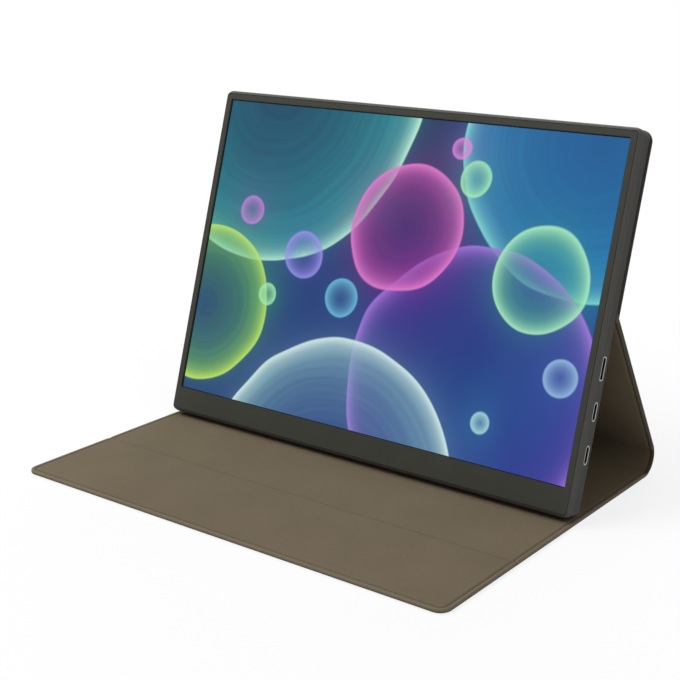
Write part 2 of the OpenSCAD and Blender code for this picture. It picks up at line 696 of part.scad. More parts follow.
rear_shell();
front_frame();
frame_gasket();
glass_cell();
light_films();
light_guide();
reflector();
panel_tray();
light_bar();
driver_board();
panel_tape();
panel_cable();
main_board();
board_shield();
video_socket();
usb_socket_upper();
usb_socket_lower();
side_board();
side_cable();
jack_socket();
power_button();
menu_rocker();
speaker_left();
speaker_right();
board_screws();
holding_magnets();
back_skin();
back_core();
back_steel();
back_lining();
top_fold();
stand_skin();
stand_core();
stand_lining();
spine();
base_skin();
base_core();
base_lining();
front_fold();
flap_skin();
flap_core();
flap_lining();
flap_magnets();
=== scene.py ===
import json
import math

import bmesh
import bpy
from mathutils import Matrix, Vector


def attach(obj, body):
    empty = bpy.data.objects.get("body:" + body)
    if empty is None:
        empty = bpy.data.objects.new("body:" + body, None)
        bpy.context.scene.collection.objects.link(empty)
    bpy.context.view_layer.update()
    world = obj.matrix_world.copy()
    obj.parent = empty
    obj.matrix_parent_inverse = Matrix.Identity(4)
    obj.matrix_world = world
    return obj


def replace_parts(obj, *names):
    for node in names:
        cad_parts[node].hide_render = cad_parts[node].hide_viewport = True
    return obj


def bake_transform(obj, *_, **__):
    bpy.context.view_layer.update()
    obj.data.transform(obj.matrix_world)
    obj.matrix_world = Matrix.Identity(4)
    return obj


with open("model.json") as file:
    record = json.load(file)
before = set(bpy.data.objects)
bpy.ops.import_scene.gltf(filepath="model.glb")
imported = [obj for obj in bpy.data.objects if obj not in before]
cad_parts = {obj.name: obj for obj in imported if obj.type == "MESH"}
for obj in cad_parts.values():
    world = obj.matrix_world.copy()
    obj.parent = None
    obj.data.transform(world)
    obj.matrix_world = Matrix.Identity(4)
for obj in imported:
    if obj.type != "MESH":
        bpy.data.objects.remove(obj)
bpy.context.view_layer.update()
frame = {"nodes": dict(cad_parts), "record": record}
mm = 0.001
plainWhite = (1.0, 1.0, 1.0, 1.0)
plainBlack = (0.0, 0.0, 0.0, 1.0)


class Wire:
    # one socket of a node tree, so that shader maths is written as expressions
    def __init__(self, tree, socket=None):
        self.tree = tree
        self.socket = socket

    def make(self, kind, settings=None, inputs=None, out=0):
        node = self.tree.nodes.new(kind)
        for key, value in (settings or {}).items():
            setattr(node, key, value)
        for key, value in (inputs or {}).items():
            if isinstance(value, Wire):
                self.tree.links.new(value.socket, node.inputs[key])
            else:
                node.inputs[key].default_value = value
        return Wire(self.tree, node.outputs[out])

    def other(self, name):
        # another output of the same node
        return Wire(self.tree, self.socket.node.outputs[name])

    def calc(self, op, *values, clamp=False):
        settings = {"operation": op, "use_clamp": clamp}
        return self.make("ShaderNodeMath", settings, dict(enumerate(values)))

    def __add__(self, other):
        return self.calc("ADD", self, other)

    def __radd__(self, other):
        return self.calc("ADD", other, self)

    def __sub__(self, other):
        return self.calc("SUBTRACT", self, other)

    def __rsub__(self, other):
        return self.calc("SUBTRACT", other, self)

    def __mul__(self, other):
        return self.calc("MULTIPLY", self, other)

    def __rmul__(self, other):
        return self.calc("MULTIPLY", other, self)

    def __truediv__(self, other):
        return self.calc("DIVIDE", self, other)

    def __rtruediv__(self, other):
        return self.calc("DIVIDE", other, self)

    def exp(self):
        return self.calc("EXPONENT", self)

    def absolute(self):
        return self.calc("ABSOLUTE", self)

    def larger(self, other):
        return self.calc("MAXIMUM", self, other)

    def clamp(self):
        return self.calc("ADD", self, 0.0, clamp=True)

    def step(self, low, high):
        # smoothly from 0 at low to 1 at high; low may be the larger of the two
        inputs = {0: self, 1: low, 2: high}
        return self.make("ShaderNodeMapRange", {"interpolation_type": "SMOOTHSTEP"}, inputs)

    def blend(self, first, second):
        # the first colour where this mask is 0, the second where it is 1
        inputs = {0: self, 6: first, 7: second}
        return self.make("ShaderNodeMix", {"data_type": "RGBA"}, inputs, 2)

    def split(self):
        x = self.make("ShaderNodeSeparateXYZ", None, {0: self}, "X")
        return x, x.other("Y"), x.other("Z")

    def join(self, x, y, z):
        return self.make("ShaderNodeCombineXYZ", None, {"X": x, "Y": y, "Z": z})

    def measure(self, op, *points):
        # the length of this vector, or its distance from a point
        inputs = dict(enumerate((self,) + points))
        return self.make("ShaderNodeVectorMath", {"operation": op}, inputs, "Value")

    def noise(self, scale, detail, rough=0.5):
        inputs = {"Vector": self, "Scale": scale, "Detail": detail, "Roughness": rough}
        return self.make("ShaderNodeTexNoise", None, inputs)

    def bump(self, distance, strength):
        inputs = {"Height": self, "Distance": distance * mm, "Strength": strength}
        return self.make("ShaderNodeBump", None, inputs)

    def stored(self, name):
        return self.make("ShaderNodeAttribute", {"attribute_name": name}, None, "Fac")


def linear(level):
    level = level / 255
    return level / 12.92 if level <= 0.04045 else ((level + 0.055) / 1.055) ** 2.4


def rgb(red, green, blue):
    return (linear(red), linear(green), linear(blue), 1.0)


def newMaterial(name, constants):
    mat = bpy.data.materials.new(name)
    mat.use_nodes = True
    tree = mat.node_tree
    shader = tree.nodes["Principled BSDF"]
    for key, value in constants.items():
        shader.inputs[key].default_value = value
    place = Wire(tree).make("ShaderNodeTexCoord", out="Object")

    def plug(key, wire):
        tree.links.new(wire.socket, shader.inputs[key])
    return mat, place, plug


# the whole object in mm, with the screen's lean and the stand's prop from upright
body = {
    "lean": math.radians(17.4), "prop": math.radians(31.1),
    "thick": 11.0, "height": 189.3, "edge": 1.0,
    "screenLow": 14.7, "screenWidth": 253.4, "screenHeight": 169.0,
    "coverWidth": 265.6, "panel": 2.0, "corner": 6.0, "coverGap": 0.2, "coverTop": 0.6,
    "foldUp": 98.5, "propLength": 94.1, "foldWidth": 4.0,
    "frontY": -107.0, "creaseY": -48.0, "footGap": 0.25,
}
sinLean, cosLean = math.sin(body["lean"]), math.cos(body["lean"])
sinProp, cosProp = math.sin(body["prop"]), math.cos(body["prop"])
bend = body["lean"] + body["prop"]  # turn from the stand panel to the back panel
halfWidth = body["coverWidth"] / 2
halfPanel = body["panel"] / 2
halfFold = body["foldWidth"] / 2

# height of the monitor's foot, and the hinge line behind the monitor
footZ = (body["panel"] + body["footGap"] + body["edge"]
         + (body["thick"] - body["edge"]) * sinLean - body["edge"] * cosLean)
pivotD = body["thick"] + body["coverGap"] + halfPanel
pivotY = pivotD * cosLean + body["foldUp"] * sinLean
pivotZ = footZ + body["foldUp"] * cosLean - pivotD * sinLean

# lower end of the stand, and the round spine between it and the base
standEndY = pivotY + body["propLength"] * sinProp + halfPanel * cosProp
standEndZ = pivotZ - body["propLength"] * cosProp + halfPanel * sinProp
spineR = standEndZ / (1 + sinProp)
spineY = standEndY - spineR * cosProp
middleY = (spineY + spineR + body["frontY"]) / 2

baseStart = body["creaseY"] + halfFold
flapStart = body["creaseY"] - halfFold
baseLength = spineY - baseStart
flapLength = flapStart - body["frontY"]
standLength = body["propLength"] - halfFold
backLength = body["height"] + body["coverTop"] - body["foldUp"] - halfFold


def onScreen(x, depth, up):
    # depth behind the screen's front, height along the leaning monitor
    y = depth * cosLean + up * sinLean - middleY
    z = footZ - depth * sinLean + up * cosLean
    return Vector((x, y, z)) * mm


def onStand(x, out, up):
    # distance out from the middle of the stand panel, height over the hinge line
    y = pivotY + out * cosProp - up * sinProp - middleY
    z = pivotZ + out * sinProp + up * cosProp
    return Vector((x, y, z)) * mm


def onTable(x, y, z):
    return Vector((x, y - middleY, z)) * mm


def screenDepth(place):
    # the depth that onScreen takes, for every point of a surface and in metres
    y, z = place.split()[1:]
    return (y + middleY * mm) * cosLean - (z - footZ * mm) * sinLean


# in every finish a noise is scale, detail and roughness, and bump is mm and strength
shell = {
    # the paler colours beside the bevel and on the bevel, and the depths over which they fade in, are
    # painted highlight
    "dark": rgb(59, 58, 55), "light": rgb(65, 64, 60), "beside": rgb(70, 69, 65),
    "bevel": rgb(86, 85, 80), "besideSpan": (5.5, 2.4), "bevelSpan": (2.15, 1.9),
    "fine": (5200.0, 2.0), "broad": (30.0, 2.0), "specular": 0.06,
    "roughness": 0.36, "fineRough": 0.14, "broadRough": 0.05, "bump": (0.02, 0.35),
}


def shellMaterial():
    mat, place, plug = newMaterial("shellMetal", {
        "Metallic": 0.0, "Specular IOR Level": shell["specular"]})
    fine = place.noise(*shell["fine"])
    broad = place.noise(*shell["broad"])
    depth = screenDepth(place)
    # painted highlight: a little paler beside the bevel, and palest on the bevel round the front
    # frame
    beside = depth.step(*(d * mm for d in shell["besideSpan"]))
    bevel = depth.step(*(d * mm for d in shell["bevelSpan"]))
    tone = beside.blend(broad.blend(shell["dark"], shell["light"]), shell["beside"])
    plug("Base Color", bevel.blend(tone, shell["bevel"]))
    plug("Roughness", shell["roughness"] + fine * shell["fineRough"] + broad * shell["broadRough"])
    plug("Normal", fine.bump(*shell["bump"]))
    return mat


frontFrame = {
    "dark": rgb(60, 60, 55), "light": rgb(67, 67, 61), "fine": (3800.0, 3.0), "wear": (60.0, 4.0),
    "specular": 0.1, "roughness": 0.46, "fineRough": 0.16, "bump": (0.03, 0.45),
}


def frameMaterial():
    mat, place, plug = newMaterial("frameMatt", {"Specular IOR Level": frontFrame["specular"]})
    fine = place.noise(*frontFrame["fine"])
    wear = place.noise(*frontFrame["wear"])
    plug("Base Color", wear.blend(frontFrame["dark"], frontFrame["light"]))
    plug("Roughness", frontFrame["roughness"] + fine * frontFrame["fineRough"])
    plug("Normal", fine.bump(*frontFrame["bump"]))
    return mat


plain = {"fine": (2500.0, 2.0), "shade": 0.82, "spread": 0.12}


def plainMaterial(name, colour, roughness, metallic=0.0):
    mat, place, plug = newMaterial(name, {"Metallic": metallic})
    fine = place.noise(*plain["fine"])
    dark = tuple(c * plain["shade"] for c in colour[:3]) + (1.0,)
    plug("Base Color", fine.blend(dark, colour))
    plug("Roughness", roughness - plain["spread"] / 2 + fine * plain["spread"])
    return mat


leather = {
    "outside": rgb(66, 61, 51), "pores": rgb(55, 51, 42),
    # edge is the dark colour that painted shade blends in, in the groove, at the lower edge, in the
    # crease and over the back panel
    "hem": rgb(116, 105, 86), "edge": rgb(30, 27, 22),
    "cells": 1150.0, "cellEdge": 0.22, "broad": (45.0, 4.0), "fine": (2600.0, 2.0),
    "cellShare": 0.6, "specular": 0.14, "roughness": 0.66, "cellRough": 0.1,
    "broadRough": 0.08, "cellHeight": 0.8, "fineHeight": 0.3, "bump": (0.06, 0.6),
}


def leatherMaterial():
    mat, place, plug = newMaterial("coverLeather", {"Specular IOR Level": leather["specular"]})
    cells = place.make("ShaderNodeTexVoronoi", {"feature": "DISTANCE_TO_EDGE"},
                       {"Vector": place, "Scale": leather["cells"]})
    grain = cells.step(0.0, leather["cellEdge"])
    broad = place.noise(*leather["broad"])
    fine = place.noise(*leather["fine"])
    mottle = grain * leather["cellShare"] + broad * (1 - leather["cellShare"])
    tone = mottle.blend(leather["pores"], leather["outside"])
    tone = place.stored("hem").blend(tone, leather["hem"])
    # painted shade, stored with each point, darkens the groove, the lower edge, the crease and the
    # back panel
    plug("Base Color", place.stored("paintedShade").blend(tone, leather["edge"]))
    plug("Roughness", leather["roughness"] - grain * leather["cellRough"]
         + broad * leather["broadRough"])
    height = grain * leather["cellHeight"] + fine * leather["fineHeight"]
    plug("Normal", height.bump(*leather["bump"]))
    return mat


lining = {
    # the groove colour and its share are painted shade
    "dark": rgb(100, 89, 71), "light": rgb(118, 106, 86), "grooveShade": rgb(44, 40, 32),
    "grooveShadeShare": 0.6, "sheenTint": rgb(190, 172, 140), "sheen": 0.1, "sheenRoughness": 0.45,
    "fibre": (3400.0, 3.0, 0.65), "nap": (700.0, 4.0, 0.6), "broad": (26.0, 4.0),
    "shares": (0.4, 0.35, 0.25), "contrast": (0.25, 0.75), "specular": 0.16,
    "roughness": 0.74, "napRough": 0.16, "fibreHeight": 0.6, "napHeight": 0.5,
    "bump": (0.07, 0.55),
}


def liningMaterial():
    mat, place, plug = newMaterial("coverLining", {
        "Sheen Weight": lining["sheen"], "Sheen Roughness": lining["sheenRoughness"],
        "Sheen Tint": lining["sheenTint"], "Specular IOR Level": lining["specular"]})
    fibre = place.noise(*lining["fibre"])
    nap = place.noise(*lining["nap"])
    broad = place.noise(*lining["broad"])
    fibreShare, napShare, broadShare = lining["shares"]
    mottle = fibre * fibreShare + nap * napShare + broad * broadShare
    tone = mottle.step(*lining["contrast"]).blend(lining["dark"], lining["light"])
    # painted shade, stored with each point, darkens the lining towards the groove colour in the
    # groove, the crease and over the back panel
    grooveShade = place.stored("paintedShade") * lining["grooveShadeShare"]
    plug("Base Color", grooveShade.blend(tone, lining["grooveShade"]))
    plug("Roughness", lining["roughness"] + nap * lining["napRough"])
    height = fibre * lining["fibreHeight"] + nap * lining["napHeight"]
    plug("Normal", height.bump(*lining["bump"]))
    return mat


picture = {
    # the dark glass, and the blue ground from the lower right to the upper left
    "glass": (0.006, 0.007, 0.009, 1.0), "roughness": 0.38, "specular": 0.12,
    "low": rgb(4, 38, 120), "high": rgb(3, 18, 78),
    "side": rgb(14, 92, 156), "sideSpan": (0.45, 1.1), "sideShare": 0.6,
    # lengths are shares of the picture's height
    "drift": (1.7, 2.0), "wobble": 0.10, "blur": 0.004, "litBlur": 0.0007,
    "rimDepth": 0.022, "haloDepth": 0.06, "haloShare": 0.22,
    # streaks inside a bubble: along its depth, across, and their start for each radius
    "streaks": (30.0, 0.8, 9), "silk": (2.0, 3.0), "silkLow": 0.62, "silkSpan": 0.6,
    # bubbles: centre across and up, radius, depth of the glow, strength, colour, rim colour
    "bubbles": (
        ((1.42, 0.98), 0.46, 0.30, 0.90, rgb(34, 136, 194), rgb(140, 238, 216)),
        ((0.22, 1.06), 0.58, 0.34, 0.95, rgb(36, 150, 156), rgb(196, 252, 222)),
        ((1.12, 0.20), 0.44, 0.22, 0.85, rgb(62, 46, 150), rgb(176, 124, 232)),
        ((0.66, -0.20), 0.48, 0.20, 0.90, rgb(112, 160, 176), rgb(222, 244, 240)),
        ((0.04, 0.30), 0.27, 0.16, 0.80, rgb(92, 170, 70), rgb(206, 246, 96)),
        ((0.80, 0.66), 0.21, 0.15, 0.85, rgb(150, 36, 140), rgb(236, 130, 214)),
        ((1.30, 0.56), 0.16, 0.12, 0.75, rgb(40, 160, 130), rgb(190, 255, 205)),
        ((0.42, 0.52), 0.075, 0.06, 0.7, rgb(70, 60, 180), rgb(170, 160, 250)),
        ((0.30, 0.37), 0.040, 0.04, 0.7, rgb(40, 170, 120), rgb(180, 250, 190)),
        ((0.60, 0.40), 0.055, 0.05, 0.6, rgb(20, 110, 180), rgb(130, 220, 240)),
        ((1.02, 0.83), 0.050, 0.05, 0.7, rgb(40, 170, 120), rgb(190, 255, 205)),
        ((0.95, 0.92), 0.030, 0.03, 0.7, rgb(150, 60, 170), rgb(230, 150, 230)),
        ((1.42, 0.30), 0.065, 0.05, 0.6, rgb(60, 110, 190), rgb(180, 220, 245)),
        ((0.17, 0.64), 0.045, 0.04, 0.6, rgb(130, 60, 170), rgb(215, 150, 235)),
        ((1.19, 0.12), 0.035, 0.03, 0.6, rgb(60, 160, 190), rgb(200, 245, 240)),
    ),
}


def addBubble(tone, bubble, flat, across, drift):
    # a filled glow, then its bright rim, then a halo outside it
    centre, radius, soft, strength, colour, rim = bubble
    away = flat.measure("DISTANCE", (centre[0], centre[1], 0.0))
    inside = radius + drift * picture["wobble"] - away
    within = inside.larger(0.0)
    edge = inside.step(-picture["blur"], picture["blur"])
    along, sideways, start = picture["streaks"]
    streaks = flat.join(inside * along, across * sideways, radius * start)
    silk = picture["silkLow"] + streaks.noise(*picture["silk"]) * picture["silkSpan"]
    fade = (within / -soft).exp()
    tone = (edge * fade * silk * strength).clamp().blend(tone, colour)
    shine = (within / -picture["rimDepth"]).exp()
    tone = (edge * shine * strength).clamp().blend(tone, rim)
    halo = (inside / picture["haloDepth"]).exp() * picture["haloShare"]
    return ((1 - edge) * halo * strength).clamp().blend(tone, colour)


def litWithin(offset, reach):
    # 1 where the offset from the picture's middle is under this reach, 0 beyond it
    return offset.absolute().step(reach + picture["litBlur"], reach - picture["litBlur"])


def pictureMaterial():
    mat, place, plug = newMaterial("screenPicture", {
        "Base Color": picture["glass"], "Roughness": picture["roughness"],
        "Specular IOR Level": picture["specular"], "Emission Strength": 1.0})
    x, y, z = place.split()
    up = (y + middleY * mm) * sinLean + (z - footZ * mm) * cosLean
    scale = body["screenHeight"] * mm
    aspect = body["screenWidth"] / body["screenHeight"]
    across = x / scale + aspect / 2
    rise = (up - body["screenLow"] * mm) / scale
    flat = place.join(across, rise, 0.0)
    drift = flat.noise(*picture["drift"]) - 0.5

    tone = (rise + drift).step(0.0, 1.0).blend(picture["low"], picture["high"])
    side = (across / aspect + drift).step(*picture["sideSpan"]) * picture["sideShare"]
    tone = side.blend(tone, picture["side"])
    for bubble in picture["bubbles"]:
        tone = addBubble(tone, bubble, flat, across, drift)

    # black outside the lit picture
    lit = litWithin(across - aspect / 2, aspect / 2) * litWithin(rise - 0.5, 0.5)
    plug("Emission Color", lit.blend(plainBlack, tone))
    return mat


sockets = {
    # place of the mouths across the monitor, and of their middle behind the screen's front
    "mouth": 132.0, "depth": 6.8,
    # height on the side wall, length, thickness and corner radius of each metal shell
    "video": (73.7, 11.2, 3.2, 0.8),
    "data": ((52.6, 8.94, 3.16, 1.57), (31.4, 8.94, 3.16, 1.57)),
    # rolled rim: distance out from the shell's outside, height over the mouth
    "rim": ((-0.29, -0.01), (-0.29, 0.14), (-0.24, 0.21), (-0.15, 0.24), (0.3, 0.24), (0.4, 0.21),
            (0.46, 0.14), (0.46, 0.07), (0.08, 0.07), (0.08, -0.01)),
    "cornerSteps": 8,
    # contact strips, a row on each side of the tongue of a data socket
    "pins": 12, "pitch": 0.5, "pinWidth": 0.26, "pinHalf": 0.03,
    "inset": 1.3, "run": 4.2, "pinFace": 0.37,
    # bright at the mouth, in its own shadow further in
    "bright": rgb(164, 163, 159), "dull": rgb(146, 145, 141), "deep": rgb(12, 12, 12),
    "deepSpan": (0.02, 0.3), "fine": (3200.0, 2.0),
    "roughness": 0.22, "fineRough": 0.1, "deepRough": 0.4,
}


def socketMaterial():
    mat, place, plug = newMaterial("nickelShell", {"Metallic": 1.0})
    fine = place.noise(*sockets["fine"])
    inward = sockets["mouth"] * mm - place.split()[0]
    deep = inward.step(*(d * mm for d in sockets["deepSpan"]))
    tone = fine.blend(sockets["dull"], sockets["bright"])
    plug("Base Color", deep.blend(tone, sockets["deep"]))
    plug("Roughness", sockets["roughness"] + fine * sockets["fineRough"]
         + deep * sockets["deepRough"])
    return mat


looks = {
    "shell": shellMaterial(),
    "frame": frameMaterial(),
    "screen": pictureMaterial(),
    "leather": leatherMaterial(),
    "lining": liningMaterial(),
    "foam": plainMaterial("blackFoam", rgb(14, 14, 14), 0.9),
    "film": plainMaterial("whiteFilm", rgb(225, 228, 230), 0.4),
    "guide": plainMaterial("clearGuide", rgb(205, 215, 220), 0.15),
    "steel": plainMaterial("plainSteel", rgb(190, 190, 192), 0.35, 1.0),
    "board": plainMaterial("greenBoard", rgb(24, 84, 52), 0.45),
    "led": plainMaterial("whiteStrip", rgb(230, 224, 190), 0.4),
    "cable": plainMaterial("amberFilm", rgb(196, 130, 60), 0.35),
    "socket": socketMaterial(),
    "key": plainMaterial("keyPlastic", rgb(48, 48, 47), 0.5),
    "speaker": plainMaterial("blackBox", rgb(22, 22, 23), 0.6),
    "magnet": plainMaterial("nickelPlate", rgb(200, 200, 202), 0.3, 1.0),
    "core": plainMaterial("fibreBoard", rgb(150, 134, 108), 0.85),
    "gold": plainMaterial("goldPads", rgb(224, 180, 96), 0.28, 1.0),
}
slots = {part["node"]: part["material_slot"] for part in frame["record"]["subparts"]}
for node, obj in frame["nodes"].items():
    obj.data.materials.clear()
    obj.data.materials.append(looks[slots[node]])
    for face in obj.data.polygons:
        face.material_index = 0
print("materials made")

sharpAngle = math.radians(50)


def newPiece(name, points, faces, look, tones=None):
    mesh = bpy.data.meshes.new(name)
    mesh.from_pydata([tuple(p) for p in points], [], faces)
    for key, values in (tones or {}).items():
        mesh.attributes.new(key, "FLOAT", "POINT").data.foreach_set("value", values)
    mesh.validate()
    obj = bpy.data.objects.new(name, mesh)
    bpy.context.scene.collection.objects.link(obj)
    mesh.materials.append(looks[look])
    mesh.shade_smooth()
    mesh.set_sharp_from_angle(angle=sharpAngle)
    return obj


def faceOutward(obj):
    work = bmesh.new()
    work.from_mesh(obj.data)
    bmesh.ops.recalc_face_normals(work, faces=work.faces)
    work.to_mesh(obj.data)
    work.free()


cover = {
    # edge section: distance in from the edge, height over the outer face, and painted shade for the
    # groove and the lower edge
    "leather": [
        (40.0, 0.0), (3.4, 0.0), (3.0, 0.03), (2.7, 0.09), (2.4, 0.03), (2.0, 0.0),
        (0.75, 0.0, 0.5), (0.4, 0.06, 0.9), (0.16, 0.22, 1.0), (0.03, 0.5, 0.7), (0.0, 0.8, 0.0),
        (0.0, 1.2), (0.05, 1.55), (0.18, 1.8), (0.42, 1.95), (0.8, 2.0), (1.2, 1.99), (1.5, 1.93),
        (1.72, 1.8, 0.2), (1.86, 1.64, 0.45), (2.0, 1.54, 0.5), (2.4, 1.52, 0.5), (2.6, 1.51),
        (1.9, 1.5), (0.62, 1.49), (0.6, 0.52), (3.0, 0.49), (40.0, 0.49)],
    "lining": [
        (40.0, 1.9), (14.0, 1.9), (7.0, 1.91), (5.2, 1.94), (4.3, 1.98), (3.7, 1.99), (3.3, 1.97),
        (3.0, 1.92, 0.1), (2.75, 1.84, 0.3), (2.45, 1.7, 0.4), (2.25, 1.61, 0.45),
        (2.1, 1.55, 0.5), (2.15, 1.53), (3.0, 1.51), (40.0, 1.51)],
    # a panel's rings stop this far in, with this tightest corner
    "reach": 14.0, "leastRadius": 0.6,
    # rise over which the dark outside turns into the light hem,
    # and the shares of painted edge shade and of hem that an edge pressed flat loses, also used on
    # the stand as painted shade
    "hemRise": 0.3, "flatTone": 0.5, "flatHem": 0.7,
    # the crease's valley: its depth, the height where it begins, and how pointed it is
    "creaseDip": 0.34, "creaseFrom": 0.9, "creasePower": 1.5,
    # painted shade in the crease: how dark it is in its middle, and how wide that shade is
    "creaseShade": 0.28, "creaseWidth": 0.8,
    # share of the spine's run in which an end turns flat, and share its inner half loses
    "spineEnd": 0.16, "spineDip": 0.6,
    # how far, from 0 to 1, the stand's edges take the colours of a pressed-flat edge though their
    # shape stays: weaker painted groove shade and a darker hem, as painted shade
    "standShadeShift": 0.6,
    # how far the top fold is drawn in on the lining's side, and on the leather's
    "apexDip": 0.5, "apexPinch": 0.15,
}


def profileOf(layer):
    return [(p + (0.0,))[:3] for p in cover[layer]]


def hemShare(h, low):
    # the turned-in hem is light, the outside of the leather is dark
    return max(0.0, min(1.0, (h - low) / cover["hemRise"]))


def coverStrip(name, layer, strip):
    # the section right across the cover, carried along the strip's stations
    right = [(halfWidth - d, h, tone) for d, h, tone in profileOf(layer)]
    loop = right + [(-x, h, tone) for x, h, tone in reversed(right)]
    points, tones, hems, faces = [], [], [], []
    for t in strip["stations"]:
        flat = strip["flat"](t)
        for x, h, tone in loop:
            points.append(strip["place"](x, t, strip["shift"](t, h)))
            tones.append(max(tone * (1 - cover["flatTone"] * flat), strip["shade"](t)))
            hems.append(hemShare(h, strip["hemLow"]) * (1 - cover["flatHem"] * flat))
    count = len(loop)
    for row in range(len(strip["stations"]) - 1):
        for k in range(count):
            a = row * count + k
            b = row * count + (k + 1) % count
            faces.append((a, b, b + count, a + count))
    obj = newPiece(name, points, faces, layer, {"paintedShade": tones, "hem": hems})
    faceOutward(obj)
    return obj


def coverTongue(name, layer, tongue):
    # a panel with one free end and two round corners: one ring for each point of the section
    points, tones, hems, faces, rings = [], [], [], [], []
    length = tongue["length"]
    for d, h, tone in profileOf(layer):
        d = min(d, cover["reach"])
        radius = max(body["corner"] - d, cover["leastRadius"])
        x, end = halfWidth - d, length - d
        path = [(x, t) for t in (0.0, length * 0.5, end - radius)]
        for degrees in range(10, 100, 10):
            a = math.radians(degrees)
            path.append((x - radius + radius * math.cos(a), end - radius + radius * math.sin(a)))
        path += [(-px, pt) for px, pt in reversed(path)]
        rings.append([len(points) + k for k in range(len(path))])
        points += [tongue["place"](px, pt, h) for px, pt in path]
        tones += [max(tone, tongue["shade"])] * len(path)
        hems += [hemShare(h, tongue["hemLow"])] * len(path)
    for first, second in zip(rings, rings[1:]):
        for k in range(len(first) - 1):
            faces.append((first[k], first[k + 1], second[k + 1], second[k]))
    faces += [tuple(rings[0]), tuple(rings[-1])]
    obj = newPiece(name, points, faces, layer, {"paintedShade": tones, "hem": hems})
    faceOutward(obj)
    return obj


# where a point of the section lies: x across, t along the piece, h over the outer face
def placeFlap(x, t, h):
    return onTable(x, flapStart - t, h)


def placeCrease(x, t, h):
    return onTable(x, flapStart + t, h)


def placeBase(x, t, h):
    return onTable(x, baseStart + t, h)


def placeSpine(x, t, h):
    angle = -math.pi / 2 + t * (math.pi / 2 + body["prop"])
    reach = spineR - h
    return onTable(x, spineY + reach * math.cos(angle), spineR + reach * math.sin(angle))


def placeStand(x, t, h):
    return onStand(x, halfPanel - h, t - body["propLength"])


def placeApex(x, t, h):
    # straight off the stand, round the hinge line and straight onto the back panel
    out = halfPanel - h
    if t <= 0.5:
        run = halfFold * (1 - 2 * t)
        straight = (out, -run)
    else:
        run = halfFold * (2 * t - 1)
        straight = (out * math.cos(bend) + run * math.sin(bend),
                    -out * math.sin(bend) + run * math.cos(bend))
    rounded = (out * math.cos(bend / 2), -out * math.sin(bend / 2))
    share = (1 - abs(2 * t - 1)) ** 2
    n, u = (s * (1 - share) + r * share for s, r in zip(straight, rounded))
    return onStand(x, n, u)


def placeBack(x, t, h):
    depth = body["thick"] + body["coverGap"] + body["panel"] - h
    return onScreen(x, depth, body["foldUp"] + halfFold + t)


# what a soft fold does to the height of a point of the section
def level(t, h):
    return h


def creaseDip(t, h):
    # a shallow valley on top, fading out over the thickness of the edge
    away = abs(t - halfFold) / halfFold
    dip = max(0.0, 1 - away * away) ** cover["creasePower"]
    share = max(0.0, (h - cover["creaseFrom"]) / (body["panel"] - cover["creaseFrom"]))
    return h - cover["creaseDip"] * dip * share


def spineDip(t, h):
    # the inside comes closer to the outer skin
    thin = 1 - cover["spineDip"] * spineFlat(t)
    return halfPanel + (h - halfPanel) * thin if h > halfPanel else h


def apexDip(t, h):
    dip = (1 - abs(2 * t - 1)) ** 2
    return h - cover["apexDip"] * dip if h > halfPanel else h + cover["apexPinch"] * dip


# how much painted shade a fold gets, and how far the groove and hem of its edge are pressed flat; on
# the stand that share only changes colour, giving weaker painted groove shade and a darker hem as
# painted shade
def none(t):
    return 0.0


def creaseShade(t):
    away = (t - halfFold) / cover["creaseWidth"]
    return cover["creaseShade"] * math.exp(-away * away)


def standShadeShift(t):
    return cover["standShadeShift"]


def spineFlat(t):
    # 0 at the two ends of the spine, 1 along its middle
    run = min(1.0, min(t, 1 - t) / cover["spineEnd"])
    return run * run * (3 - 2 * run)


def stations(length, count):
    return [length * k / count for k in range(count + 1)]


tongues = {
    "flap": {"length": flapLength, "place": placeFlap, "hemLow": 0.6, "shade": 0.0},
    # the back panel's shade of 0.3 is painted shade laid over the whole panel, to darken its edge
    "back": {"length": backLength, "place": placeBack, "hemLow": 1.9, "shade": 0.3},
}
strips = {
    "base": {"stations": stations(baseLength, 1), "place": placeBase, "shift": level,
             "shade": none, "flat": none, "hemLow": 0.6},
    "stand": {"stations": stations(standLength, 1), "place": placeStand, "shift": level,
              "shade": none, "flat": standShadeShift, "hemLow": 1.6},
    "crease": {"stations": stations(body["foldWidth"], 12), "place": placeCrease,
               "shift": creaseDip, "shade": creaseShade, "flat": none, "hemLow": 0.6},
    "spine": {"stations": stations(1, 30), "place": placeSpine, "shift": spineDip,
              "shade": none, "flat": spineFlat, "hemLow": 1.1},
    "apex": {"stations": stations(1, 16), "place": placeApex, "shift": apexDip,
             "shade": none, "flat": none, "hemLow": 1.6},
}
coverPieces = {}
for layer in ("leather", "lining"):
    title = layer.capitalize()
    for part, tongue in tongues.items():
        coverPieces[part + title] = coverTongue(part + title, layer, tongue)
    for part, strip in strips.items():
        coverPieces[part + title] = coverStrip(part + title, layer, strip)

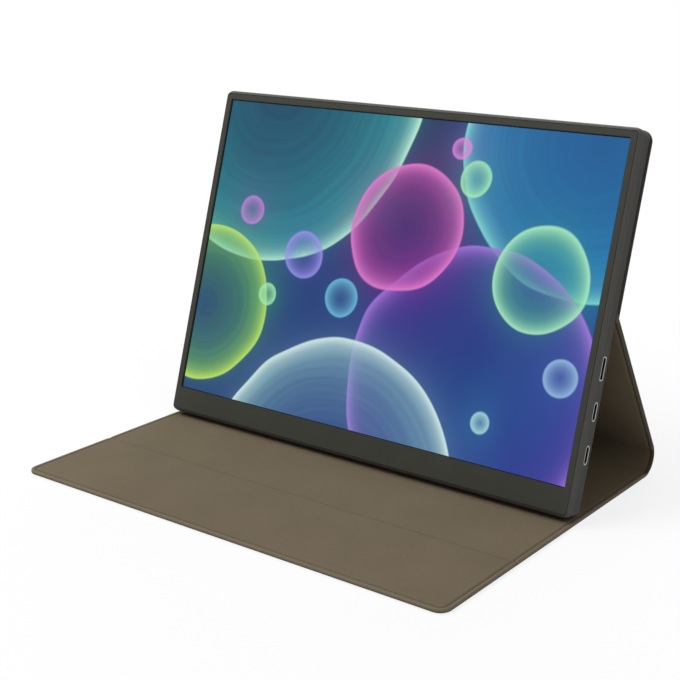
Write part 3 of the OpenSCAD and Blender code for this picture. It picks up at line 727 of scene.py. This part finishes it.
for part, owner in (("flap", "flap"), ("back", "screen"), ("base", "base"), ("stand", "stand")):
    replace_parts(coverPieces[part + "Leather"], part + "_skin")
    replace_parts(coverPieces[part + "Lining"], part + "_lining")
    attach(coverPieces[part + "Leather"], owner)
    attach(coverPieces[part + "Lining"], owner)
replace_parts(coverPieces["creaseLeather"], "front_fold")
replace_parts(coverPieces["spineLeather"], "spine")
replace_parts(coverPieces["apexLeather"], "top_fold")
for name in ("creaseLeather", "creaseLining"):
    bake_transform(coverPieces[name], "base", "flap", start=onTable(0, baseStart, halfPanel),
             end=onTable(0, flapStart, halfPanel))
for name in ("spineLeather", "spineLining"):
    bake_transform(coverPieces[name], "base", "stand", start=onTable(0, spineY, 0),
             end=onTable(0, standEndY, standEndZ))
for name in ("apexLeather", "apexLining"):
    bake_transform(coverPieces[name], "stand", "screen", start=onStand(0, 0, -halfFold),
             end=onStand(0, halfFold * math.sin(bend), halfFold * math.cos(bend)))
print("cover made")


def boxMesh(low, high):
    # corners are given as onScreen takes them
    points = [onScreen(x, d, u) for x in (low[0], high[0])
              for d in (low[1], high[1]) for u in (low[2], high[2])]
    faces = [(0, 1, 3, 2), (4, 6, 7, 5), (0, 4, 5, 1), (2, 3, 7, 6), (0, 2, 6, 4), (1, 5, 7, 3)]
    return points, faces


def contactStrips():
    points, faces = [], []
    front = sockets["mouth"] - sockets["inset"]
    back = front - sockets["run"]
    halfPin, thick = sockets["pinWidth"] / 2, sockets["pinHalf"]
    for shape in sockets["data"]:
        for k in range(sockets["pins"]):
            at = shape[0] + (k - (sockets["pins"] - 1) / 2) * sockets["pitch"]
            for side in (-1, 1):
                face = sockets["depth"] + side * sockets["pinFace"]
                newPoints, newFaces = boxMesh((back, face - thick, at - halfPin),
                                              (front, face + thick, at + halfPin))
                faces += [tuple(v + len(points) for v in f) for f in newFaces]
                points += newPoints
    return newPiece("socketContacts", points, faces, "gold")


def slotLoop(shape, grow, rise):
    # once round a socket's mouth, corner by corner
    up, length, thick, radius = shape
    turn = radius + grow
    reachUp, reachDepth = length / 2 - radius, thick / 2 - radius
    loop = []
    for quarter, (sideDepth, sideUp) in enumerate(((1, 1), (-1, 1), (-1, -1), (1, -1))):
        for k in range(sockets["cornerSteps"] + 1):
            a = math.radians(90 * (quarter + k / sockets["cornerSteps"]))
            loop.append(onScreen(sockets["mouth"] + rise,
                                 sockets["depth"] + sideDepth * reachDepth + turn * math.cos(a),
                                 up + sideUp * reachUp + turn * math.sin(a)))
    return loop


def rolledRims():
    points, faces = [], []
    rows, around = len(sockets["rim"]), 4 * (sockets["cornerSteps"] + 1)
    for shape in (sockets["video"],) + sockets["data"]:
        first = len(points)
        for grow, rise in sockets["rim"]:
            points += slotLoop(shape, grow, rise)
        for row in range(rows):
            here, there = first + row * around, first + (row + 1) % rows * around
            for k in range(around):
                after = (k + 1) % around
                faces.append((here + k, here + after, there + after, there + k))
    return newPiece("socketRims", points, faces, "socket")


for piece in (contactStrips(), rolledRims()):
    faceOutward(piece)
    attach(piece, "screen")
print("socket details made")


def seenRays(tree):
    # camera, glossy and transmission rays, which see the plain white
    camera = Wire(tree).make("ShaderNodeLightPath", out="Is Camera Ray")
    return camera.larger(camera.other("Is Glossy Ray")).larger(camera.other("Is Transmission Ray"))


stage = {
    "floorSize": 8.0, "floorDrop": 0.0004, "paper": (0.94, 0.94, 0.94, 1.0), "roughness": 0.9,
    # share of plain white round the object, and where it turns into white alone, in metres
    "whiteNear": 0.82, "fadeSpan": (0.16, 0.42),
    "fillColour": (0.97, 0.98, 1.0, 1.0), "fill": 0.24,
}
floorMesh = bpy.data.meshes.new("floor")
far = stage["floorSize"]
corners = [(-far, -far, 0), (far, -far, 0), (far, far, 0), (-far, far, 0)]
floorMesh.from_pydata(corners, [], [(0, 1, 2, 3)])
floor = bpy.data.objects.new("floor", floorMesh)
floor.location = (0, 0, -stage["floorDrop"])
bpy.context.scene.collection.objects.link(floor)

floorLook, floorPlace = newMaterial("floorPaper", {
    "Roughness": stage["roughness"], "Specular IOR Level": 0.0, "Base Color": stage["paper"]})[:2]
floorTree = floorLook.node_tree
fade = floorPlace.measure("LENGTH").step(*stage["fadeSpan"])
whiteShare = stage["whiteNear"] + (1 - stage["whiteNear"]) * fade
whiteFloor = floorPlace.make("ShaderNodeEmission", None, {"Color": plainWhite, "Strength": 1.0})
paper = Wire(floorTree, floorTree.nodes["Principled BSDF"].outputs[0])
mixed = floorPlace.make("ShaderNodeMixShader", None,
                        {0: whiteShare * seenRays(floorTree), 1: paper, 2: whiteFloor})
floorTree.links.new(mixed.socket, floorTree.nodes["Material Output"].inputs["Surface"])
floorMesh.materials.append(floorLook)

world = bpy.data.worlds.new("studio")
world.use_nodes = True
bpy.context.scene.world = world
skyTree = world.node_tree
skyTree.nodes.clear()
rays = seenRays(skyTree)
whiteSky = rays.make("ShaderNodeBackground", None, {"Color": plainWhite, "Strength": 1.0})
fillSky = rays.make("ShaderNodeBackground", None,
                    {"Color": stage["fillColour"], "Strength": stage["fill"]})
sky = rays.make("ShaderNodeMixShader", None, {0: rays, 1: fillSky, 2: whiteSky})
skyOut = skyTree.nodes.new("ShaderNodeOutputWorld")
skyTree.links.new(sky.socket, skyOut.inputs["Surface"])

# place and aim in metres, size along and across, power in watts
lamps = {
    "keyLeft": {"place": (-0.9, -0.8, 1.6), "aim": (0, 0, 0.05), "size": (1.0, 1.0), "power": 25.0},
    "topSoft": {"place": (-0.3, 0.3, 1.6), "aim": (0, 0, 0.05), "size": (1.1, 1.2), "power": 5.5},
    "backSoft": {"place": (-0.3, 1.4, 1.1), "aim": (0, 0, 0.08), "size": (0.9, 0.7), "power": 5.5},
    "rightSoft": {"place": (1.2, -0.3, 1.0), "aim": (0.1, 0, 0.02), "size": (0.7, 0.6), "power": 3.0},
}
for name, lamp in lamps.items():
    light = bpy.data.lights.new(name, "AREA")
    light.shape = "RECTANGLE"
    light.size, light.size_y = lamp["size"]
    light.energy = lamp["power"]
    obj = bpy.data.objects.new(name, light)
    obj.location = lamp["place"]
    ahead = Vector(lamp["aim"]) - Vector(lamp["place"])
    obj.rotation_euler = ahead.to_track_quat("-Z", "Y").to_euler()
    bpy.context.scene.collection.objects.link(obj)

# place in mm as onTable takes it, angles in degrees, lens and sensor in mm
view = {"place": (416.9, -537.8, 275.2), "azimuth": 36.746, "elevation": 16.63,
        "lens": 72.49, "sensor": 36.0, "shift": (-0.0470, -0.0021), "nearest": 10.0}
az, el = math.radians(view["azimuth"]), math.radians(view["elevation"])
lens = bpy.data.cameras.new("camera")
lens.sensor_width = view["sensor"]
lens.lens = view["lens"]
lens.shift_x, lens.shift_y = view["shift"]
lens.clip_start = view["nearest"] * mm
camera = bpy.data.objects.new("camera", lens)
camera.location = onTable(*view["place"])
forward = Vector((-math.sin(az) * math.cos(el), math.cos(az) * math.cos(el), -math.sin(el)))
camera.rotation_euler = forward.to_track_quat("-Z", "Y").to_euler()
bpy.context.scene.collection.objects.link(camera)
bpy.context.scene.camera = camera
bpy.context.scene.view_settings.view_transform = "Standard"
print("stage made")
